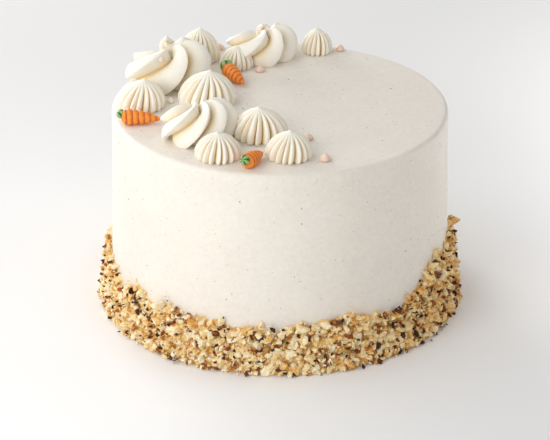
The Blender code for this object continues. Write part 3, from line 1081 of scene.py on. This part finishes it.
@dataclass
class Kiss:
    """A piped star: a ribbed dome drawn up to a small tip."""

    node: str
    radius: float
    height: float
    ribs: int
    first: float
    lean: float
    groove: float = 0.29
    twist: float = 10.0
    outline: tuple[tuple[float, float], ...] = (
        (0.90, 0.00),
        (0.99, 0.08),
        (1.00, 0.17),
        (0.985, 0.29),
        (0.92, 0.42),
        (0.83, 0.54),
        (0.70, 0.66),
        (0.54, 0.76),
        (0.36, 0.84),
        (0.19, 0.90),
        (0.09, 0.95),
        (0.045, 0.985),
        (0.0, 1.0),
    )

    def place(self, along: float, turn: float) -> tuple[Vector, float]:
        """A point of the skin, and its painted shade value for the grooves."""
        across, up = outline_at(self.outline, along)
        phase = math.tau * (turn % 1.0)
        wander = 0.10 * noise.noise(Vector((3 * math.cos(phase), 3 * math.sin(phase), self.first)))
        groove = self.groove * min(1.0, 1.2 * across + 0.2)
        groove *= 1.0 + 0.35 * noise.noise(polar(2.2, phase, self.first + 4.0))
        share = lobed(phase + wander, self.ribs, groove)
        angle = phase + math.radians(self.first + self.twist * up)
        reach = self.radius * across * share
        spot = polar(reach, angle, self.height * up)
        spot.x += self.lean * up**2
        tip = smoothstep(0.86, 1.0, up)
        spot += Vector((0.5 * MM * tip * math.cos(self.first), 0.3 * MM * tip, 0.0))
        # Painted shade down the grooves, fading towards the tip.
        return spot, min(1.0, (1.0 - share) / self.groove) ** 1.25 * (1.0 - 0.5 * tip)

    def build(self) -> None:
        """Builds the kiss on its node's place."""
        bm = wrap(54, self.ribs * 10, self.place)
        close_up(bm)
        seat(bm, self.node)
        bmesh.ops.translate(bm, vec=(0.0, 0.0, -0.4 * MM), verts=bm.verts[:])
        add_piece(bm, "piped_" + self.node, PIPED_ICING, [self.node])


@dataclass
class Swirl:
    """A rope from a wide star tip, laid in a rising spiral and pulled off.

    The lobes turn about the rope as many times faster than the path turns as the
    twist says, and their phase is in degrees.
    """

    node: str
    path: float
    height: float
    rope: float
    flare: float
    lobes: int
    twist: float
    lobe_phase: float
    first: float = 185.0
    turns: float = 1.15
    groove: float = 0.55
    voxel: float = 0.34 * MM

    def middle(self, share: float) -> tuple[Vector, float, float]:
        """Middle of the rope, its radius and its bearing at a share of its length."""
        bearing = math.radians(self.first + 360.0 * self.turns * share)
        reach = self.path * (1.0 - 0.8 * smoothstep(0.25, 0.92, share))
        reach += self.path * self.flare * (1.0 - smoothstep(0.0, 0.30, share))
        girth = self.rope * (0.60 + 0.40 * smoothstep(0.0, 0.10, share))
        girth *= 1.0 - 0.90 * smoothstep(0.38, 0.88, share)
        rise = 0.78 * smoothstep(0.20, 0.86, share) + 0.22 * max(0.0, 2.0 * share - 1.0) ** 2
        z = 0.60 * self.rope + (self.height - 0.60 * (girth + self.rope)) * rise
        return polar(reach, bearing, z), girth, bearing

    def place(self, share: float, turn: float) -> tuple[Vector, float]:
        """A point of the rope's ridged skin."""
        spot, girth, bearing = self.middle(share)
        after = self.middle(min(1.0, share + 0.004))[0]
        before = self.middle(max(0.0, share - 0.004))[0]
        ahead = (after - before).normalized()
        outward = polar(1.0, bearing)
        side = (outward - ahead * outward.dot(ahead)).normalized()
        over = side.cross(ahead)
        if over.z < 0.0:
            over = -over
        groove = self.groove * (1.0 - 0.30 * smoothstep(0.80, 1.0, share))
        phase = math.tau * (turn % 1.0)
        lobe_phase = phase - self.twist * bearing + math.radians(self.lobe_phase)
        lobe = bladed(lobe_phase, self.lobes, groove)
        reach = girth * lobe
        point = spot + side * (reach * math.cos(phase)) + over * (reach * math.sin(phase))
        point += side * (0.25 * MM * rough(point, 120.0, self.lobe_phase))
        # Painted shade down the grooves between the lobes.
        return point, ((1.0 - lobe) / self.groove) ** 1.8

    def build(self) -> None:
        """Builds the swirl on its node's place."""
        bm = wrap(200, 112, self.place)
        depth = bm.verts.layers.float["painted_shade"]
        near = KDTree(len(bm.verts))
        for index, vertex in enumerate(bm.verts):
            near.insert(vertex.co, index)
        near.balance()
        depths = [vertex[depth] for vertex in bm.verts]
        close_up(bm)
        heart = Matrix.Diagonal((1.0, 1.0, 0.8, 1.0))
        bmesh.ops.create_uvsphere(bm, u_segments=32, v_segments=16, radius=self.path, matrix=heart)
        mesh = bpy.data.meshes.new(self.node + "_rope")
        bm.to_mesh(mesh)
        bm.free()
        fused = self.fuse(mesh)
        bm = bmesh.new()
        bm.from_mesh(fused)
        cut = bmesh.ops.bisect_plane(
            bm,
            geom=bm.verts[:] + bm.edges[:] + bm.faces[:],
            plane_co=(0.0, 0.0, 0.0),
            plane_no=(0.0, 0.0, -1.0),
            clear_outer=True,
        )["geom_cut"]
        rim = [edge for edge in cut if isinstance(edge, bmesh.types.BMEdge)]
        bmesh.ops.holes_fill(bm, edges=rim, sides=0)
        bmesh.ops.recalc_face_normals(bm, faces=bm.faces[:])
        # Painted shade in the recesses of the fused skin, joined with that of the rope's grooves.
        mark_hollows(bm, 14, 0.9 * MM)
        painted_shade = bm.verts.layers.float["painted_shade"]
        for vertex in bm.verts:
            along = depths[near.find(vertex.co)[1]]
            vertex[painted_shade] = min(1.0, max(vertex[painted_shade], 0.35 * vertex[painted_shade] + 0.8 * along))
        seat(bm, self.node)
        bmesh.ops.translate(bm, vec=(0.0, 0.0, -0.4 * MM), verts=bm.verts[:])
        add_piece(bm, "piped_" + self.node, PIPED_ICING, [self.node])

    def fuse(self, mesh: bpy.types.Mesh) -> bpy.types.Mesh:
        """Joins the rope's overlaps into one skin and softens it.

        Args:
            mesh: The rope and its heart.

        Returns:
            One closed skin.
        """
        rope = bpy.data.objects.new("rope", mesh)
        bpy.context.scene.collection.objects.link(rope)
        remesh = rope.modifiers.new("fuse", "REMESH")
        remesh.mode = "VOXEL"
        remesh.voxel_size = self.voxel
        relax = rope.modifiers.new("soften", "SMOOTH")
        relax.factor = 0.5
        relax.iterations = 3
        bpy.context.view_layer.update()
        graph = bpy.context.evaluated_depsgraph_get()
        fused = bpy.data.meshes.new_from_object(rope.evaluated_get(graph))
        bpy.data.objects.remove(rope, do_unlink=True)
        return fused


# ---------------------------------------------------------------- sugar decorations


@dataclass
class SugarCarrot:
    """A small piped carrot of coloured icing with a green tuft."""

    node: str
    heading: float
    pitch: float
    length: float
    radius: float
    leaf: float
    ridges: int = 7
    ridge_depth: float = 0.19
    leaf_length: float = 1.45
    leaf_lobes: int = 5
    leaf_tilt: float = 24.0

    def axes(self) -> tuple[Vector, Vector, Vector]:
        """The way the carrot points, and its sideways and upward axes."""
        turn = Matrix.Rotation(math.radians(self.heading), 3, "Z")
        turn = turn @ Matrix.Rotation(math.radians(-self.pitch), 3, "Y")
        return turn @ Vector((1, 0, 0)), turn @ Vector((0, 1, 0)), turn @ Vector((0, 0, 1))

    def place(self, along: float, turn: float) -> tuple[Vector, float]:
        """A point of the carrot's ridged skin."""
        ahead, side, over = self.axes()
        angle = math.tau * (turn % 1.0)
        # Each ridge was laid with a slightly slanting stroke.
        slant = along + 0.018 * math.cos(angle) + 0.006 * noise.noise(polar(2.0, angle, along * 9))
        wave = (self.ridges * slant) % 1.0
        crease = 1.0 - math.sin(math.pi * wave) ** 0.55
        body = max(0.0, 1.0 - along**2.2) ** 0.8 * smoothstep(-0.16, 0.17, along)
        body *= smoothstep(-0.02, 0.05, along)
        girth = self.radius * body * (1.0 - self.ridge_depth * crease)
        girth *= 1.0 + 0.05 * noise.noise(polar(1.5, angle, along * 6 + self.heading))
        spot = ahead * (self.length * (along - 0.5)) - over * (0.30 * self.radius * along**2)
        spot += side * (girth * math.cos(angle)) + over * (girth * math.sin(angle))
        spot.z = max(spot.z, -0.93 * self.radius)
        # Painted shade down the creases between the ridges.
        return spot, min(1.0, crease * 1.2)

    def build(self) -> None:
        """Builds the carrot and its tuft on their nodes' places."""
        bm = wrap(96, 40, self.place)
        close_up(bm)
        seat(bm, self.node)
        bmesh.ops.translate(bm, vec=(0.0, 0.0, -0.35 * MM), verts=bm.verts[:])
        add_piece(bm, "sugar_" + self.node, ORANGE_ICING, [self.node])
        self.build_leaf()

    def build_leaf(self) -> None:
        """The green tuft: lobes piped together and pulled to blunt points."""
        ahead, side, over = self.axes()
        tilt = math.radians(self.leaf_tilt)
        grow = over * math.sin(tilt) - ahead * math.cos(tilt)
        across = side.cross(grow)
        outline = ((0.30, -0.04), (0.60, 0.0), (0.88, 0.18), (1.0, 0.38), (0.92, 0.62),
                   (0.66, 0.84), (0.30, 0.97), (0.0, 1.0))

        def place(along: float, turn: float) -> tuple[Vector, float]:
            reach, up = outline_at(outline, along)
            angle = math.tau * (turn % 1.0)
            share = lobed(angle + 0.5 * up, self.leaf_lobes, 0.42)
            girth = self.leaf * reach * share
            girth *= 1.0 + 0.12 * noise.noise(polar(2.5, angle, along * 5 + self.heading))
            spot = grow * (self.leaf_length * self.leaf * up)
            spot += side * (girth * math.cos(angle)) + across * (girth * math.sin(angle))
            # Painted shade down the creases between the lobes.
            return spot, min(1.0, (1.0 - share) / 0.42)

        bm = wrap(40, 60, place)
        close_up(bm)
        seat(bm, self.node + "_leaf")
        bmesh.ops.translate(bm, vec=(0.0, 0.0, -0.2 * MM), verts=bm.verts[:])
        add_piece(bm, "sugar_" + self.node + "_leaf", GREEN_ICING, [self.node + "_leaf"])


@dataclass
class SugarDrop:
    """A drop of coloured icing, a little lopsided."""

    node: str
    cream: bool = False

    def build(self) -> None:
        """Builds the drop on its node's place."""
        low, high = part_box(self.node)
        size = high - low
        radius = 0.5 * size.x
        seed = float(sum(ord(letter) for letter in self.node))
        outline = ((0.78, 0.0), (0.97, 0.10), (1.0, 0.22), (0.89, 0.40), (0.68, 0.57),
                   (0.43, 0.72), (0.23, 0.85), (0.09, 0.95), (0.0, 1.0))

        def place(along: float, turn: float) -> tuple[Vector, float]:
            across, up = outline_at(outline, along)
            angle = math.tau * (turn % 1.0)
            uneven = noise.noise(polar(1.2, angle, seed + up))
            reach = radius * across * (1.0 + 0.10 * uneven)
            # Random tone, with painted shade darker towards the foot.
            return polar(reach, angle, size.z * up), 0.35 + 0.5 * uneven - 0.3 * up

        bm = wrap(20, 32, place)
        close_up(bm)
        seat(bm, self.node)
        bmesh.ops.translate(bm, vec=(0.0, 0.0, -0.35 * MM), verts=bm.verts[:])
        finish = PIPED_ICING if self.cream else PEACH_ICING
        add_piece(bm, "sugar_" + self.node, finish, [self.node])


@dataclass
class Decorations:
    """The crescent of piping and sugar work on the top of the cake."""

    kisses: tuple[Kiss, ...] = (
        Kiss("kiss_1", 14.8 * MM, 17.8 * MM, 18, 5.0, 2.0 * MM),
        Kiss("kiss_2", 13.3 * MM, 21.5 * MM, 18, 12.0, 0.3 * MM),
        Kiss("kiss_3", 17.6 * MM, 21.0 * MM, 18, 0.0, 1.5 * MM),
        Kiss("kiss_4", 10.8 * MM, 14.2 * MM, 16, 8.0, 0.0),
        Kiss("kiss_5", 9.8 * MM, 16.5 * MM, 16, 3.0, 0.0),
        Kiss("kiss_6", 13.6 * MM, 15.8 * MM, 18, 10.0, 0.0),
        Kiss("kiss_7", 16.4 * MM, 18.8 * MM, 18, 4.0, -0.8 * MM),
        Kiss("kiss_8", 13.9 * MM, 16.4 * MM, 18, 15.0, 1.0 * MM),
    )
    swirls: tuple[Swirl, ...] = (
        Swirl("swirl_1", 11.8 * MM, 29.2 * MM, 15.6 * MM, 0.62, 3, 1.9, 70.0),
        Swirl("swirl_2", 9.2 * MM, 21.8 * MM, 12.8 * MM, 0.90, 3, 2.2, 60.0),
        Swirl("swirl_3", 10.0 * MM, 18.8 * MM, 14.3 * MM, 0.45, 4, 2.2, 60.0),
    )
    carrots: tuple[SugarCarrot, ...] = (
        SugarCarrot("carrot_1", -1.0, 0.0, 24.5 * MM, 5.0 * MM, 3.0 * MM),
        SugarCarrot("carrot_2", -60.0, -2.0, 22.5 * MM, 5.1 * MM, 4.2 * MM),
        SugarCarrot("carrot_3", 60.0, 0.0, 20.0 * MM, 4.9 * MM, 3.4 * MM),
    )
    drops: tuple[SugarDrop, ...] = tuple(
        SugarDrop(f"drop_{number}", cream=number == 6) for number in range(1, 9)
    )

    def build(self) -> None:
        """Builds every decoration."""
        for item in (*self.kisses, *self.swirls, *self.carrots, *self.drops):
            item.build()


# ---------------------------------------------------------------- studio


@dataclass(frozen=True)
class SoftLight:
    """A square soft light aimed at the cake.

    The bearing is in degrees from the front, towards the right, the distance from the
    cake and the size in metres, and the power in watts.
    """

    name: str
    bearing: float
    elevation: float
    distance: float
    size: float
    power: float

    def build(self) -> None:
        """Adds the light."""
        light = bpy.data.lights.new(self.name, "AREA")
        light.size = self.size
        light.energy = self.power
        lamp = bpy.data.objects.new(self.name, light)
        tilt = math.radians(self.elevation)
        across = polar(math.cos(tilt), math.radians(self.bearing - 90.0), math.sin(tilt))
        lamp.location = across * self.distance + Vector((0.0, 0.0, 0.06))
        lamp.rotation_euler = across.to_track_quat("Z", "Y").to_euler()
        bpy.context.scene.collection.objects.link(lamp)


@dataclass
class Studio:
    """A white table in a bright room, with a large window on the left, and the camera."""

    camera_place: tuple[float, float, float] = (0.0, -1.3029, 0.6847)
    camera_aim: tuple[float, float, float] = (-0.0030, 0.0, 0.0470)
    lens: float = 153.6
    sensor: float = 36.0
    sky: float = 0.452
    wash: float = 1.5
    wash_place: tuple[float, float, float] = (0.60, 0.18, 0.75)
    lights: tuple[SoftLight, ...] = (
        SoftLight("window", -36.0, 26.0, 0.8, 0.5, 2.35),
        SoftLight("left_card", -60.0, 10.0, 0.8, 0.5, 0.50),
        SoftLight("high_card", -95.0, 52.0, 0.48, 0.3, 0.42),
        SoftLight("back_window", -150.0, 12.0, 1.8, 0.9, 17.0),
        SoftLight("right_card", 100.0, 35.0, 1.8, 0.9, 2.8),
    )

    def build(self) -> None:
        """Builds the table, the lights and the camera."""
        scene = bpy.context.scene
        scene.view_settings.view_transform = "Standard"
        world = bpy.data.worlds.new("studio")
        scene.world = world
        world.use_nodes = True
        sky = world.node_tree.nodes["Background"]
        sky.inputs["Color"].default_value = (1.0, 1.0, 1.0, 1.0)
        sky.inputs["Strength"].default_value = self.sky
        self.build_table()
        for light in self.lights:
            light.build()
        self.build_wash()
        self.build_camera()

    def build_table(self) -> None:
        """The table top, which isn't part of the cake."""
        bm = bmesh.new()
        bmesh.ops.create_grid(bm, x_segments=1, y_segments=1, size=6.0)
        bmesh.ops.translate(bm, vec=(0.0, 0.0, -0.2 * MM), verts=bm.verts[:])
        mesh = bpy.data.meshes.new("table")
        bm.to_mesh(mesh)
        bm.free()
        mesh.materials.append(TABLETOP.material())
        table = bpy.data.objects.new("table", mesh)
        bpy.context.scene.collection.objects.link(table)

    def build_wash(self) -> None:
        """A narrow light from above on the right of the table, clear of the cake."""
        light = bpy.data.lights.new("table_wash", "AREA")
        light.size = 0.5
        light.energy = self.wash
        light.spread = math.radians(50.0)
        lamp = bpy.data.objects.new("table_wash", light)
        lamp.location = self.wash_place
        bpy.context.scene.collection.objects.link(lamp)

    def build_camera(self) -> None:
        """The camera at the viewing angle."""
        data = bpy.data.cameras.new("camera")
        data.lens = self.lens
        data.sensor_width = self.sensor
        camera = bpy.data.objects.new("camera", data)
        camera.location = self.camera_place
        aim = Vector(self.camera_aim) - Vector(self.camera_place)
        camera.rotation_euler = aim.to_track_quat("-Z", "Y").to_euler()
        bpy.context.scene.collection.objects.link(camera)
        bpy.context.scene.camera = camera


def main() -> None:
    """Builds the cake from the inside out, then the studio."""
    logging.basicConfig(level=logging.INFO, format="%(message)s")
    cake = IcedCake()
    cake.build()
    WalnutBand(cake).build()
    Decorations().build()
    Studio().build()


if __name__ == "__main__":
    main()
